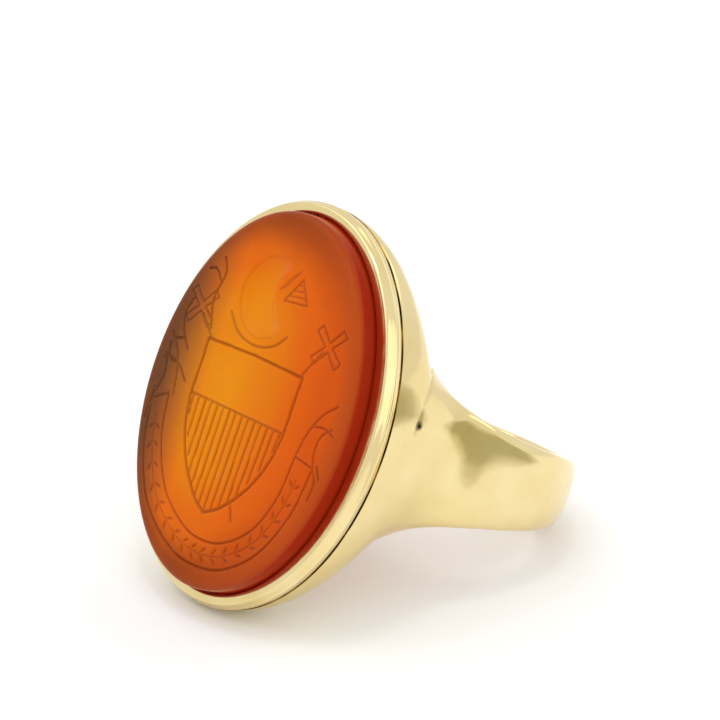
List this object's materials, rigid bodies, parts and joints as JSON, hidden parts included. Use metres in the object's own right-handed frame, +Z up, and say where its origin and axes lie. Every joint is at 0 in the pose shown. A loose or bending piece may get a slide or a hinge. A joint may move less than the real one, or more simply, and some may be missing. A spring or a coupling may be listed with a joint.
{
  "type": "signet ring",
  "caption": "Gold signet ring lying on its side: oval engraved orange seal stone in a rubbed-over rim on a saddle-cut head, tapering shoulders and a slim shank.",
  "frame": {"origin": "on the ground, under the middle of the ring's box, as it lies on its side", "axes": "+Z up; -Y towards the seal, which leans back and looks a little upward; +X across the finger; the finger hole's axis leans 26 degrees from +Z towards +Y"},
  "size_m": [0.0192, 0.0244, 0.0198],
  "materials": {
    "gold": "18 carat yellow gold, polished, with fine wear",
    "stone": "polished carnelian, translucent orange, engraved table"
  },
  "bodies": {
    "root": {"stone": "stone", "bezel": "gold", "head_collet": "gold", "bearer": "gold", "shoulder_right": "gold", "shoulder_left": "gold", "shank_back": "gold"}
  },
  "joints": []
}
